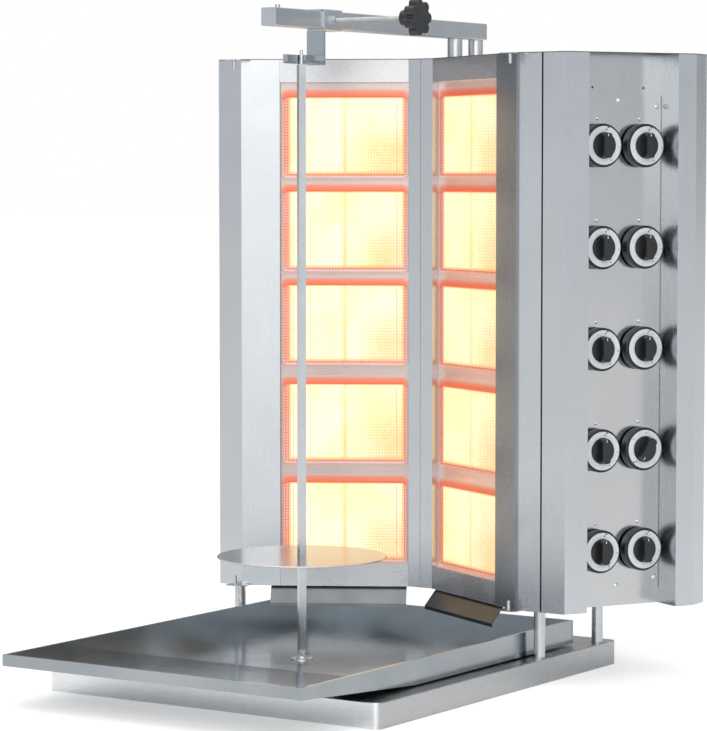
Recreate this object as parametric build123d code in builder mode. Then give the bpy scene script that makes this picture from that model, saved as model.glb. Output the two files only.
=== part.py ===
"""Gas-fired vertical rotisserie broiler: two rows of ceramic burners set in a V, a square
skewer held between a sliding drip tray and a sliding arm carriage, and ten gas knobs.

The frame: Z up, -Y towards the cook, +X towards the control side.  The origin is the middle
of the base's underside.  Everything in a burner cabinet is drawn in that cabinet's own plane,
whose x runs outwards along the burner face and whose y runs into the cabinet."""
from build123d import *
from math import cos, radians, sin, sqrt
import os

os.makedirs("parts", exist_ok=True)

# ---------------------------------------------------------------- driving dimensions, mm
sheet = 1.5                 # stainless sheet of the housing
fit = 0.3                   # gap between neighbouring sheets
running = 0.05              # radial gap of a turning shaft
seam = 3.0                  # open seam between the right wing and the control post

base_width = 660.0
base_depth = 776.0
base_height = 42.0
base_corner = 12.0          # radius of the base's upright corners
runner_height = 3.0         # flat bars that the tray slides on
runner_width = 25.0
runner_spread = 440.0
runner_inset = 20.0         # from the base's front and back

leg_diameter = 20.0
leg_wall = 1.5
leg_spread = 628.0
leg_front_y = 141.5
leg_rear_y = 345.0

body_bottom = 125.0
body_height = 946.0
post_half = 25.0            # half the width of the centre post
post_y = 257.0              # front face of the centre post
face_angle = 30.0           # each burner face, from straight across
face_length = 300.0         # centre post to the wing's fold
heater_width = 231.0        # centre post to the wing's inner edge
wing_front = 49.2           # flat front of a wing
face_return = 30.0          # how far the face sheets turn back into the cabinet
body_back_y = 462.0
cabinet_depth = 341.0       # from the burner face to the cabinet's rear corner

control_out = 84.0          # how far the control posts stand out past the wing's fold
cover_side = 44.0           # outer side of the front post
recess_in = 27.0            # control recess floor, past the wing's fold
recess_length = 176.5
rear_side = 36.0            # outer side of the rear post
rear_bevel = 23.7           # how far the rear post's bevel comes back in

header_height = 40.0
sill_height = 41.0
frame_recess = 12.6         # burner frame behind the face
window_width = 222.0
window_height = 141.0
window_corner = 8.0
window_start = 4.0          # from the centre post to the windows
top_window_z = 932.5
upper_pitch = 168.0         # the three upper burners
lower_pitch = 178.0         # the two lower burners

mesh_thickness = 1.0
tile_width = 92.0
tile_height = 132.0
tile_thickness = 13.0
tile_gap = 0.6
box_width = 206.0
box_height = 138.0
box_depth = 45.0
box_wall = 2.0
spigot_diameter = 24.0
spigot_length = 25.0

deflector_run = 16.0        # drip deflector: forward of the face
deflector_back = 7.0        # and where it leaves the floor, behind the face
deflector_drop = 29.0
deflector_length = 245.0
deflector_lip = 6.0

knob_diameter = 74.0
knob_pitch = 84.5           # between the two columns
column_shift = 3.0          # of both columns, back from the middle of the recess
knob_rows = 5
knob_row_pitch = 173.0
top_knob_z = 914.5
knob_gap = 5.0              # behind the knob's skirt, room for its push
knob_push = 3.5
skirt_depth = 17.0
dial_diameter = 66.0
dial_rise = 1.5
grip_disc = 44.0
grip_width = 15.0
grip_rise = 14.0
turned_knob = ("rear", 4)   # one knob stands part of the way round
turned_angle = 148.0
spindle_diameter = 8.0
spindle_in_knob = 12.0
spindle_in_valve = 17.0

plate_bottom_z = 152.0      # removable control panel
plate_height = 848.0
plate_edge = 1.5
floor_overlap = 10.0        # recess floor behind the two posts
panel_hole_gap = 2.0        # round each spindle, in the panel
floor_hole_gap = 4.0        # and in the recess floor behind it
screw_head = 9.0
stud_diameter = 5.0
stud_above = 46.0
badge_hole = 4.0

manifold_diameter = 22.0
manifold_depth = 24.0       # manifold axis behind the recess floor
boss_diameter = 18.0
boss_reach = 20.0
valve_width = 24.0
valve_height = 30.0
valve_length = 36.0
nipple_diameter = 12.0
nipple_length = 10.0
tube_diameter = 8.0
tube_bend = 18.0
inlet_pipe = 18.0
inlet_nut = 27.0            # across the flats of the bulkhead nut
inlet_nut_depth = 8.0
inlet_diameter = 20.9       # half-inch pipe thread
inlet_bore = 14.0
inlet_thread = 22.0
inlet_z = 190.0

tray_width = 590.0
tray_front = -550.0
tray_back = 292.0
tray_rim_z = 86.0
tray_wall = 1.5
tray_hem = 5.0
tray_lip = 19.0             # height of the tray's front wall
ramp_start = -226.0         # the floor rises from here to the front

skewer_y = -118.0
skewer_size = 12.0
skewer_turn = 37.0
skewer_tip = 15.0
tip_flat = 1.5
skewer_top_z = 1049.0
pin_diameter = 6.0
pin_top_z = 1073.0
cup_diameter = 38.0
cup_base = 3.0
cup_boss = 16.0
cup_rise = 3.0
cup_mouth = 11.0
plate_diameter = 287.0
plate_thickness = 2.5
plate_z = 220.0
cross_pin = 5.0
cross_pin_length = 30.0

arm_size = 30.0
arm_wall = 2.0
arm_front = -213.0
arm_back = 460.0
arm_z = 1110.0              # underside of the arm
arm_post_diameter = 27.0
arm_post_wall = 2.5
arm_post_front_y = 373.0
arm_post_pitch = 72.0
stop_pin_y = -187.0
stop_pin_diameter = 8.0
stop_pin_height = 6.0

sleeve_gap = 0.5
sleeve_wall = 2.5
sleeve_front = -75.5
sleeve_length = 54.5
nut_across = 15.0
nut_height = 6.5
hanger_drop = 58.0
hanger_thickness = 3.0
catch_width = 16.0
catch_bottom = 1056.0
catch_height = 9.0
catch_prong = 4.0
prong_height = 15.0
prong_end_y = -160.0
lip_width = 9.0
lip_height = 11.5
catch_gap = 0.5
screw_diameter = 8.0
screw_end_x = 172.0
screw_tip_gap = 0.3         # the clamp screw is just short of gripping the arm
star_diameter = 62.0
star_hub = 26.0
star_hub_length = 20.0
star_thickness = 18.0
star_lobes = 7

guard_pin_diameter = 6.0
guard_pin_length = 16.5
guard_pin_ahead = 21.5      # pin in front of the wing's flat front
lug_width = 36.0
lug_ahead = 30.0
lug_corner = 6.0
seam_return = 15.0          # how far the sheets turn in at the seam

# ---------------------------------------------------------------- worked-out values
body_top = body_bottom + body_height
wall_bottom = body_bottom + sheet
wall_height = body_height - 2 * sheet
tray_floor_z = base_height + runner_height
cosine = cos(radians(face_angle))
sine = sin(radians(face_angle))
cabinet = Plane(origin=(post_half, post_y, 0), x_dir=(cosine, -sine, 0), z_dir=(0, 0, 1))
wing_edge = (face_length + wing_front * cosine, wing_front * sine)
control_x = face_length + control_out
recess_x = face_length + recess_in
cover_start_y = control_out * sine / cosine
recess_start = cover_start_y + cover_side
recess_end = recess_start + recess_length
post_end = recess_end + rear_side
panel_x = recess_x + sheet
heater_middle = window_start + window_width / 2
burner_heights = [top_window_z - upper_pitch * row for row in range(3)]
burner_heights += [burner_heights[2] - lower_pitch * row for row in (1, 2)]
column_middle = recess_start + recess_length / 2 + column_shift
knob_columns = [column_middle + side * knob_pitch / 2 for side in (-1, 1)]
knob_heights = [top_knob_z - knob_row_pitch * row for row in range(knob_rows)]
mesh_front = frame_recess + sheet
tile_front = mesh_front + mesh_thickness
box_back = tile_front + box_depth
spigot_end = box_back + spigot_length
manifold_x = recess_x - sheet - manifold_depth
valve_back = recess_x - sheet - valve_length
outlet_x = valve_back - nipple_length
inlet_end = cabinet_depth + inlet_nut_depth + inlet_thread
spindle_start = recess_x - sheet - spindle_in_valve
knob_back = panel_x + knob_gap
spindle_end = knob_back + spindle_in_knob
sleeve_inner = arm_size + 2 * sleeve_gap
sleeve_outer = sleeve_inner + 2 * sleeve_wall
arm_middle_z = arm_z + arm_size / 2
sleeve_bottom = arm_middle_z - sleeve_outer / 2
tip_z = tray_floor_z + tray_wall + 2.0


def world(x, y, side=1):
    """A cabinet point in the machine's own frame; side -1 is the left cabinet."""
    return (side * (post_half + x * cosine + y * sine), post_y - x * sine + y * cosine)


def thick_path(points, thickness):
    """The outline of a bent strip whose outer face follows the points.  The metal lies to
    the left of the direction of travel, and the bends are mitred."""
    count = len(points)
    normals = []
    for first, second in zip(points, points[1:]):
        length = sqrt((second[0] - first[0]) ** 2 + (second[1] - first[1]) ** 2)
        normals.append((-(second[1] - first[1]) / length, (second[0] - first[0]) / length))
    inner = []
    for index, point in enumerate(points):
        before = normals[max(index - 1, 0)]
        after = normals[min(index, count - 2)]
        share = thickness / (1 + before[0] * after[0] + before[1] * after[1])
        inner.append((point[0] + share * (before[0] + after[0]),
                      point[1] + share * (before[1] + after[1])))
    return list(points) + inner[::-1]


def upright_sheet(points, bottom=wall_bottom, height=wall_height, thickness=sheet):
    """Adds a bent sheet standing on edge to the part being built, in the machine's frame."""
    with BuildSketch(Plane.XY.offset(bottom), mode=Mode.PRIVATE) as outline:
        Polygon(*thick_path(points, thickness), align=None)
    extrude(outline.sketch, amount=height)


def box(plane, x, y, z, mode=Mode.ADD):
    """Adds a block between pairs of limits in a plane's own axes."""
    with BuildSketch(plane.offset(z[0]), mode=Mode.PRIVATE) as outline:
        with Locations(((x[0] + x[1]) / 2, (y[0] + y[1]) / 2)):
            Rectangle(x[1] - x[0], y[1] - y[0])
    extrude(outline.sketch, amount=z[1] - z[0], mode=mode)


def rod(start, end, diameter, mode=Mode.ADD):
    """Adds a round bar between two points of the machine's frame."""
    axis = Vector(*end) - Vector(*start)
    with BuildSketch(Plane(origin=start, z_dir=axis), mode=Mode.PRIVATE) as section:
        Circle(diameter / 2)
    extrude(section.sketch, amount=axis.length, mode=mode)


def cabinet_point(x, y, z, side=1):
    """A cabinet point with its height, in the machine's frame."""
    across, back = world(x, y, side)
    return (across, back, z)


def save(part, label):
    """Labels a finished piece and writes it."""
    part.label = label
    export_step(part, f"parts/{label}.step")


def save_pair(part, label):
    """Writes a right-hand piece and its mirror image for the left cabinet."""
    save(part, f"right_{label}")
    with BuildPart() as left:
        mirror(part, about=Plane.YZ)
    save(left.part, f"left_{label}")


# ---------------------------------------------------------------- base and legs
with BuildPart() as base_pan:
    Box(base_width, base_depth, base_height, align=(Align.CENTER, Align.CENTER, Align.MIN))
    fillet(base_pan.edges().filter_by(Axis.Z), base_corner)
    fillet(base_pan.faces().sort_by(Axis.Z)[-1].edges(), sheet)
    with BuildSketch(Plane.XY.offset(sheet)):
        RectangleRounded(base_width - 2 * sheet, base_depth - 2 * sheet, base_corner - sheet)
    extrude(amount=base_height - 2 * sheet, mode=Mode.SUBTRACT)
    with BuildSketch(Plane.XY.offset(base_height)):
        with Locations((-runner_spread / 2, 0), (runner_spread / 2, 0)):
            Rectangle(runner_width, base_depth - 2 * runner_inset)
    extrude(amount=runner_height)
save(base_pan.part, "base_pan")

leg_y = [leg_front_y, leg_rear_y]
leg_places = [(side * leg_spread / 2, place) for side in (-1, 1) for place in leg_y]
with BuildPart() as leg_tubes:
    with BuildSketch(Plane.XY.offset(base_height)):
        with Locations(*leg_places):
            Circle(leg_diameter / 2)
            Circle(leg_diameter / 2 - leg_wall, mode=Mode.SUBTRACT)
    extrude(amount=body_bottom - base_height)
save(leg_tubes.part, "leg_tubes")

# ---------------------------------------------------------------- housing floor, top and back
half_front = [(0, post_y), (post_half, post_y), world(face_length, 0), world(*wing_edge)]
control_side = [world(control_x, cover_start_y), world(control_x, post_end),
                world(control_x - rear_bevel, cabinet_depth)]
control_recess = [world(control_x, recess_start), world(recess_x, recess_start),
                  world(recess_x, recess_end), world(control_x, recess_end)]
bevel_end = (cabinet_depth * cosine - (body_back_y - post_y)) / sine
back_corner = world(bevel_end, cabinet_depth)
left_corner = world(wing_edge[0], cabinet_depth, -1)
left_front = [(-x, y) for x, y in half_front[:0:-1]]
back_path = [control_side[-1], back_corner, world(bevel_end, cabinet_depth, -1), left_corner]

with BuildPart() as top_panel:
    with BuildSketch(Plane.XY.offset(body_top - sheet)):
        Polygon(*half_front, *control_side, *back_path[1:], *left_front, align=None)
    extrude(amount=sheet)
save(top_panel.part, "top_panel")

with BuildPart() as bottom_panel:
    with BuildSketch(Plane.XY.offset(body_bottom)):
        Polygon(*half_front, control_side[0], *control_recess, *control_side[1:],
                *back_path[1:], *left_front, align=None)
    extrude(amount=sheet)
save(bottom_panel.part, "bottom_panel")

with BuildPart() as back_panel:
    upright_sheet(back_path)
    rod(cabinet_point(manifold_x, cabinet_depth - 4 * sheet, inlet_z),
        cabinet_point(manifold_x, cabinet_depth + sheet, inlet_z),
        inlet_pipe + 4 * fit, Mode.SUBTRACT)
save(back_panel.part, "back_panel")

# ---------------------------------------------------------------- front sheets
with BuildPart() as centre_flange:
    upright_sheet([(fit, post_y), (post_half, post_y), world(0, face_return)])
save_pair(centre_flange.part, "centre_flange")

wing_corner = world(*wing_edge)
pin_place = (world(face_length, 0)[0], wing_corner[1] - guard_pin_ahead)
with BuildPart() as wing:
    upright_sheet([world(heater_width, face_return), world(heater_width, 0),
                   world(face_length, 0), wing_corner, (wing_corner[0], wing_corner[1] + seam_return)])
    for lug_bottom in (wall_bottom, wall_bottom + wall_height - sheet):
        box(Plane.XY, (pin_place[0] - lug_width / 2, pin_place[0] + lug_width / 2),
            (wing_corner[1] - lug_ahead, wing_corner[1] + sheet), (lug_bottom, lug_bottom + sheet))
    fillet(wing.edges().filter_by(Axis.Z).group_by(Axis.Y)[0], lug_corner)
save_pair(wing.part, "wing")

with BuildPart() as guard_pins:
    with BuildSketch(Plane.XY.offset(wall_bottom + sheet)):
        with Locations(pin_place, (-pin_place[0], pin_place[1])):
            Circle(guard_pin_diameter / 2)
    extrude(amount=guard_pin_length)
    with BuildSketch(Plane.XY.offset(wall_bottom + wall_height - sheet - guard_pin_length)):
        with Locations(pin_place, (-pin_place[0], pin_place[1])):
            Circle(guard_pin_diameter / 2)
    extrude(amount=guard_pin_length)
save(guard_pins.part, "guard_pins")

with BuildPart() as left_end_panel:
    upright_sheet([world(wing_edge[0], cabinet_depth - sheet, -1),
                   world(wing_edge[0], wing_edge[1] + seam + sheet, -1)])
save(left_end_panel.part, "left_end_panel")

# ---------------------------------------------------------------- control side
seam_x = wing_corner[0] + seam
with BuildPart() as front_post_cover:
    upright_sheet([(seam_x, wing_corner[1] + seam_return), (seam_x, wing_corner[1]),
                   world(control_x, cover_start_y), world(control_x, recess_start),
                   world(recess_x, recess_start)])
save(front_post_cover.part, "front_post_cover")

bevel_share = (cabinet_depth - sheet - post_end) / (cabinet_depth - post_end)
with BuildPart() as rear_post_cover:
    upright_sheet([world(recess_x, recess_end), world(control_x, recess_end),
                   world(control_x, post_end),
                   world(control_x - rear_bevel * bevel_share, cabinet_depth - sheet)])
save(rear_post_cover.part, "rear_post_cover")

with BuildPart() as recess_floor:
    box(cabinet, (recess_x - sheet, recess_x),
        (recess_start - floor_overlap, recess_end + floor_overlap),
        (wall_bottom, wall_bottom + wall_height))
    for column in knob_columns:
        for height in knob_heights:
            rod(cabinet_point(recess_x - 2 * sheet, column, height),
                cabinet_point(recess_x + sheet, column, height),
                spindle_diameter + 2 * floor_hole_gap, Mode.SUBTRACT)
    for across in (recess_start + 40, recess_end - 35):
        rod(cabinet_point(recess_x - 2 * sheet, across, body_top - 58),
            cabinet_point(recess_x + sheet, across, body_top - 58), badge_hole, Mode.SUBTRACT)
save(recess_floor.part, "recess_floor")

with BuildPart() as control_panel:
    box(cabinet, (recess_x, panel_x),
        (recess_start + plate_edge, recess_end - plate_edge),
        (plate_bottom_z, plate_bottom_z + plate_height))
    for column in knob_columns:
        for height in knob_heights:
            rod(cabinet_point(recess_x - sheet, column, height),
                cabinet_point(panel_x + sheet, column, height),
                spindle_diameter + 2 * panel_hole_gap, Mode.SUBTRACT)
save(control_panel.part, "control_panel")

screw_places = [(column_middle, plate_bottom_z + 8), (column_middle, plate_bottom_z + plate_height - 8)]
for edge_y in (recess_start + 9, recess_end - 9):
    screw_places += [(edge_y, plate_bottom_z + 18), (edge_y, plate_bottom_z + plate_height - 18)]
with BuildPart() as panel_screws:
    for place, height in screw_places:
        rod(cabinet_point(panel_x, place, height), cabinet_point(panel_x + 2.5, place, height),
            screw_head)
    for column in knob_columns:
        for height in knob_heights:
            rod(cabinet_point(panel_x, column, height + stud_above),
                cabinet_point(panel_x + 2, column, height + stud_above), stud_diameter)
save(panel_screws.part, "panel_screws")

# ---------------------------------------------------------------- burners
frame_ends = (fit, heater_width - fit)
header_z = body_top - sheet - header_height
sill_z = body_bottom + sill_height
with BuildPart() as burner_frame:
    box(cabinet, frame_ends, (0, sheet), (header_z, wall_bottom + wall_height))
    box(cabinet, frame_ends, (0, mesh_front), (header_z, header_z + sheet))
    box(cabinet, frame_ends, (frame_recess, mesh_front), (sill_z - sheet, header_z + sheet))
    box(cabinet, frame_ends, (0, mesh_front), (sill_z - sheet, sill_z))
    box(cabinet, frame_ends, (0, sheet), (wall_bottom, sill_z))
    for height in burner_heights:
        face = Plane(origin=cabinet_point(heater_middle, frame_recess - 1, height),
                     x_dir=cabinet.x_dir, z_dir=cabinet.y_dir)
        with BuildSketch(face):
            RectangleRounded(window_width, window_height, window_corner)
        extrude(amount=sheet + 2, mode=Mode.SUBTRACT)
save_pair(burner_frame.part, "burner_frame")

with BuildPart() as burner_mesh:
    for height in burner_heights:
        box(cabinet, (frame_ends[0] + 1, frame_ends[1] - 1), (mesh_front, tile_front),
            (height - window_height / 2 - 4, height + window_height / 2 + 4))
save_pair(burner_mesh.part, "burner_mesh")

tile_offset = (tile_width + tile_gap) / 2
with BuildPart() as ceramic_tiles:
    for height in burner_heights:
        for side in (-1, 1):
            middle = heater_middle + side * tile_offset
            box(cabinet, (middle - tile_width / 2, middle + tile_width / 2),
                (tile_front, tile_front + tile_thickness),
                (height - tile_height / 2, height + tile_height / 2))
save_pair(ceramic_tiles.part, "ceramic_tiles")

pocket_half = tile_width + tile_gap / 2 + fit
plenum_half = pocket_half - 6
with BuildPart() as burner_boxes:
    for height in burner_heights:
        box(cabinet, (heater_middle - box_width / 2, heater_middle + box_width / 2),
            (tile_front, box_back), (height - box_height / 2, height + box_height / 2))
        rod(cabinet_point(heater_middle, box_back - box_wall, height),
            cabinet_point(heater_middle, spigot_end, height), spigot_diameter)
        box(cabinet, (heater_middle - pocket_half, heater_middle + pocket_half),
            (tile_front - 1, tile_front + tile_thickness),
            (height - tile_height / 2 - fit, height + tile_height / 2 + fit), Mode.SUBTRACT)
        box(cabinet, (heater_middle - plenum_half, heater_middle + plenum_half),
            (tile_front + tile_thickness, box_back - box_wall),
            (height - tile_height / 2 + 6, height + tile_height / 2 - 6), Mode.SUBTRACT)
        rod(cabinet_point(heater_middle, box_back - 2 * box_wall, height),
            cabinet_point(heater_middle, spigot_end - box_wall, height),
            spigot_diameter - 2 * box_wall, Mode.SUBTRACT)
save_pair(burner_boxes.part, "burner_boxes")

# ---------------------------------------------------------------- drip deflectors
slope = [(face_return, body_bottom), (deflector_back, body_bottom),
         (-deflector_run, body_bottom - deflector_drop),
         (-deflector_run, body_bottom - deflector_drop - deflector_lip)]
with BuildPart() as deflector:
    end_plane = Plane(origin=cabinet_point(0, 0, 0), x_dir=cabinet.y_dir, z_dir=cabinet.x_dir)
    end_plane = end_plane.offset(2 * sheet)
    with BuildSketch(end_plane) as profile:
        Polygon(*thick_path(slope, sheet), align=None)
    extrude(amount=deflector_length)
save_pair(deflector.part, "deflector")

# ---------------------------------------------------------------- gas train
with BuildPart() as gas_manifold:
    rod(cabinet_point(manifold_x, column_middle, inlet_z - manifold_diameter),
        cabinet_point(manifold_x, column_middle, top_knob_z + 25), manifold_diameter)
    rod(cabinet_point(manifold_x, column_middle, inlet_z),
        cabinet_point(manifold_x, cabinet_depth + sheet, inlet_z), inlet_pipe)
    nut_plane = Plane(origin=cabinet_point(manifold_x, cabinet_depth, inlet_z),
                      x_dir=cabinet.x_dir, z_dir=cabinet.y_dir)
    with BuildSketch(nut_plane):
        RegularPolygon(inlet_nut / 2, 6, major_radius=False)
    extrude(amount=inlet_nut_depth)
    rod(cabinet_point(manifold_x, cabinet_depth + inlet_nut_depth, inlet_z),
        cabinet_point(manifold_x, inlet_end, inlet_z), inlet_diameter)
    for height in knob_heights:
        rod(cabinet_point(manifold_x, column_middle - boss_reach, height),
            cabinet_point(manifold_x, column_middle + boss_reach, height), boss_diameter)
    rod(cabinet_point(manifold_x, cabinet_depth, inlet_z),
        cabinet_point(manifold_x, inlet_end + 1, inlet_z), inlet_bore, Mode.SUBTRACT)
save(gas_manifold.part, "gas_manifold")

with BuildPart() as gas_valves:
    for column in knob_columns:
        inward = 1 if column < column_middle else -1
        neck_start = column + inward * valve_width / 2
        for height in knob_heights:
            box(cabinet, (valve_back, recess_x - sheet),
                (column - valve_width / 2, column + valve_width / 2),
                (height - valve_height / 2, height + valve_height / 2))
            rod(cabinet_point(manifold_x, neck_start - inward, height),
                cabinet_point(manifold_x, column_middle - inward * boss_reach, height),
                boss_diameter - 4)
            rod(cabinet_point(outlet_x, column, height),
                cabinet_point(valve_back + 1, column, height), nipple_diameter)
            rod(cabinet_point(spindle_start - knob_push - 1, column, height),
                cabinet_point(recess_x, column, height),
                spindle_diameter + 2 * running, Mode.SUBTRACT)
save(gas_valves.part, "gas_valves")

supply_routes = []
for knob_z, burner_z in zip(knob_heights, burner_heights):
    front, rear = knob_columns
    supply_routes.append([cabinet_point(outlet_x, rear, knob_z),
                          cabinet_point(heater_middle + 60, rear, knob_z),
                          cabinet_point(heater_middle, rear - 60, burner_z),
                          cabinet_point(heater_middle, spigot_end, burner_z)])
    supply_routes.append([cabinet_point(outlet_x, front, knob_z),
                          cabinet_point(60, front, knob_z),
                          cabinet_point(60, front, burner_z, -1),
                          cabinet_point(heater_middle, front, burner_z, -1),
                          cabinet_point(heater_middle, spigot_end, burner_z, -1)])
with BuildPart() as supply_tubes:
    for route in supply_routes:
        with BuildLine() as path:
            FilletPolyline(*route, radius=tube_bend)
        first = Vector(*route[1]) - Vector(*route[0])
        with BuildSketch(Plane(origin=route[0], z_dir=first)):
            Circle(tube_diameter / 2)
        sweep(path=path.wires()[0])
save(supply_tubes.part, "supply_tubes")

# ---------------------------------------------------------------- knobs and their spindles
knob_names = {knob_columns[0]: "front", knob_columns[1]: "rear"}
for column in knob_columns:
    for row, height in enumerate(knob_heights, start=1):
        with BuildPart() as spindle:
            rod(cabinet_point(spindle_start, column, height),
                cabinet_point(spindle_end - running, column, height), spindle_diameter)
        save(spindle.part, f"{knob_names[column]}_spindle_{row}")

        turn = radians(turned_angle) if (knob_names[column], row) == turned_knob else 0
        knob_plane = Plane(origin=cabinet_point(knob_back, column, height),
                           x_dir=cabinet.y_dir * cos(turn) + Vector(0, 0, sin(turn)),
                           z_dir=cabinet.x_dir)
        with BuildPart() as knob:
            with BuildSketch(knob_plane):
                Circle(knob_diameter / 2)
            extrude(amount=skirt_depth)
            chamfer(knob.faces().sort_by(Axis(knob_plane.origin, knob_plane.z_dir))[-1].edges(), 2)
            with BuildSketch(knob_plane.offset(skirt_depth)):
                Circle(dial_diameter / 2)
            extrude(amount=dial_rise)
            with BuildSketch(knob_plane.offset(skirt_depth + dial_rise)):
                Circle(grip_disc / 2)
            extrude(amount=sheet)
            with BuildSketch(knob_plane.offset(skirt_depth + dial_rise)) as grip:
                Rectangle(grip_width, grip_disc - 2)
                fillet(grip.vertices(), 5)
            extrude(amount=grip_rise)
            with BuildSketch(knob_plane):
                Circle(spindle_diameter / 2 + running)
            extrude(amount=spindle_in_knob, mode=Mode.SUBTRACT)
            with BuildSketch(knob_plane):
                Circle(knob_diameter / 2 - 3)
                Circle(spindle_diameter / 2 + 5, mode=Mode.SUBTRACT)
            extrude(amount=spindle_in_knob - 2, mode=Mode.SUBTRACT)
        save(knob.part, f"{knob_names[column]}_knob_{row}")

# ---------------------------------------------------------------- drip tray and pivot cup
front_bottom = tray_rim_z - tray_lip
outer_profile = [(tray_back, tray_rim_z), (tray_back, tray_floor_z), (ramp_start, tray_floor_z),
                 (tray_front, front_bottom), (tray_front, tray_rim_z)]
inner_profile = [(tray_back - tray_wall, tray_rim_z + 1),
                 (tray_back - tray_wall, tray_floor_z + tray_wall),
                 (ramp_start, tray_floor_z + tray_wall),
                 (tray_front + tray_wall, front_bottom + tray_wall),
                 (tray_front + tray_wall, tray_rim_z + 1)]
with BuildPart() as drip_tray:
    with BuildSketch(Plane.YZ):
        Polygon(*outer_profile, align=None)
    extrude(amount=tray_width / 2, both=True)
    with BuildSketch(Plane.YZ):
        Polygon(*inner_profile, align=None)
    extrude(amount=tray_width / 2 - tray_wall, both=True, mode=Mode.SUBTRACT)
    tray_length = tray_back - tray_front
    with BuildSketch(Plane.XY.offset(tray_rim_z - tray_wall)):
        with Locations((0, (tray_back + tray_front) / 2)):
            Rectangle(tray_width, tray_length)
            Rectangle(tray_width - 2 * tray_hem, tray_length - 2 * tray_hem, mode=Mode.SUBTRACT)
    extrude(amount=tray_wall)
save(drip_tray.part, "drip_tray")

cup_floor = tray_floor_z + tray_wall
cup_top = cup_floor + cup_base + cup_rise
with BuildPart() as pivot_cup:
    with BuildSketch(Plane.XZ.offset(-skewer_y)):
        Polygon((0, cup_floor), (cup_diameter / 2, cup_floor),
                (cup_diameter / 2, cup_floor + cup_base - 1),
                (cup_diameter / 2 - 1, cup_floor + cup_base),
                (cup_boss / 2, cup_floor + cup_base), (cup_boss / 2, cup_top),
                (cup_mouth / 2, cup_top), (tip_flat, tip_z - fit), (0, tip_z - fit), align=None)
    revolve(axis=Axis((0, skewer_y, 0), (0, 0, 1)))
save(pivot_cup.part, "pivot_cup")

# ---------------------------------------------------------------- skewer, meat plate and pin
skewer_axis = Plane(origin=(0, skewer_y, 0), x_dir=(cos(radians(skewer_turn)), -sin(radians(skewer_turn)), 0),
                    z_dir=(0, 0, 1))
cross_pin_z = plate_z - cross_pin / 2
with BuildPart() as skewer:
    with BuildSketch(skewer_axis.offset(tip_z + skewer_tip)):
        Rectangle(skewer_size, skewer_size)
    extrude(amount=skewer_top_z - tip_z - skewer_tip)
    with BuildSketch(skewer_axis.offset(tip_z)):
        Rectangle(tip_flat, tip_flat)
    with BuildSketch(skewer_axis.offset(tip_z + skewer_tip)):
        Rectangle(skewer_size, skewer_size)
    loft()
    with BuildSketch(skewer_axis.offset(skewer_top_z)):
        Circle(pin_diameter / 2)
    extrude(amount=pin_top_z - skewer_top_z)
    fillet(skewer.faces().sort_by(Axis.Z)[-1].edges(), pin_diameter / 2 - 0.8)
    with Locations(skewer_axis.offset(cross_pin_z).location * Location((0, 0, 0), (90, 0, 0))):
        Cylinder(cross_pin / 2 + running, skewer_size * 2, mode=Mode.SUBTRACT)
save(skewer.part, "skewer")

with BuildPart() as meat_plate:
    with BuildSketch(skewer_axis.offset(plate_z)):
        Circle(plate_diameter / 2)
        Rectangle(skewer_size + fit, skewer_size + fit, mode=Mode.SUBTRACT)
    extrude(amount=plate_thickness)
    fillet(meat_plate.edges().filter_by(GeomType.CIRCLE), 0.8)
save(meat_plate.part, "meat_plate")

with BuildPart() as plate_pin:
    with Locations(skewer_axis.offset(cross_pin_z).location * Location((0, 0, 0), (90, 0, 0))):
        Cylinder(cross_pin / 2, cross_pin_length)
save(plate_pin.part, "plate_pin")

# ---------------------------------------------------------------- arm
with BuildPart() as arm_tube:
    box(Plane.XY, (-arm_size / 2, arm_size / 2), (arm_front, arm_back), (arm_z, arm_z + arm_size))
    fillet(arm_tube.edges().filter_by(Axis.Y), 2)
    box(Plane.XY, (-arm_size / 2 + arm_wall, arm_size / 2 - arm_wall),
        (arm_front + arm_wall, arm_back - arm_wall),
        (arm_z + arm_wall, arm_z + arm_size - arm_wall), Mode.SUBTRACT)
    rod((0, stop_pin_y, arm_z + arm_size - arm_wall),
        (0, stop_pin_y, arm_z + arm_size + stop_pin_height), stop_pin_diameter)
save(arm_tube.part, "arm_tube")

with BuildPart() as arm_posts:
    with BuildSketch(Plane.XY.offset(body_top)):
        with Locations((0, arm_post_front_y), (0, arm_post_front_y + arm_post_pitch)):
            Circle(arm_post_diameter / 2)
            Circle(arm_post_diameter / 2 - arm_post_wall, mode=Mode.SUBTRACT)
    extrude(amount=arm_z - body_top)
save(arm_posts.part, "arm_posts")

# ---------------------------------------------------------------- carriage
sleeve_y = (sleeve_front, sleeve_front + sleeve_length)
clamp_y = sleeve_front + sleeve_length / 2
screw_tip = arm_size / 2 + screw_tip_gap
with BuildPart() as carriage_sleeve:
    box(Plane.XY, (-sleeve_outer / 2, sleeve_outer / 2), sleeve_y,
        (sleeve_bottom, sleeve_bottom + sleeve_outer))
    fillet(carriage_sleeve.edges().filter_by(Axis.Y), 3)
    box(Plane.XY, (-sleeve_inner / 2, sleeve_inner / 2), (sleeve_y[0] - 1, sleeve_y[1] + 1),
        (arm_z - sleeve_gap, arm_z + arm_size + sleeve_gap), Mode.SUBTRACT)
    with BuildSketch(Plane.YZ.offset(sleeve_outer / 2)):
        with Locations((clamp_y, arm_middle_z)):
            RegularPolygon(nut_across / 2, 6, major_radius=False)
    extrude(amount=nut_height)
    rod((sleeve_inner / 2 - 1, clamp_y, arm_middle_z),
        (sleeve_outer / 2 + nut_height + 1, clamp_y, arm_middle_z),
        screw_diameter + 2 * running, Mode.SUBTRACT)
save(carriage_sleeve.part, "carriage_sleeve")

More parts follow.
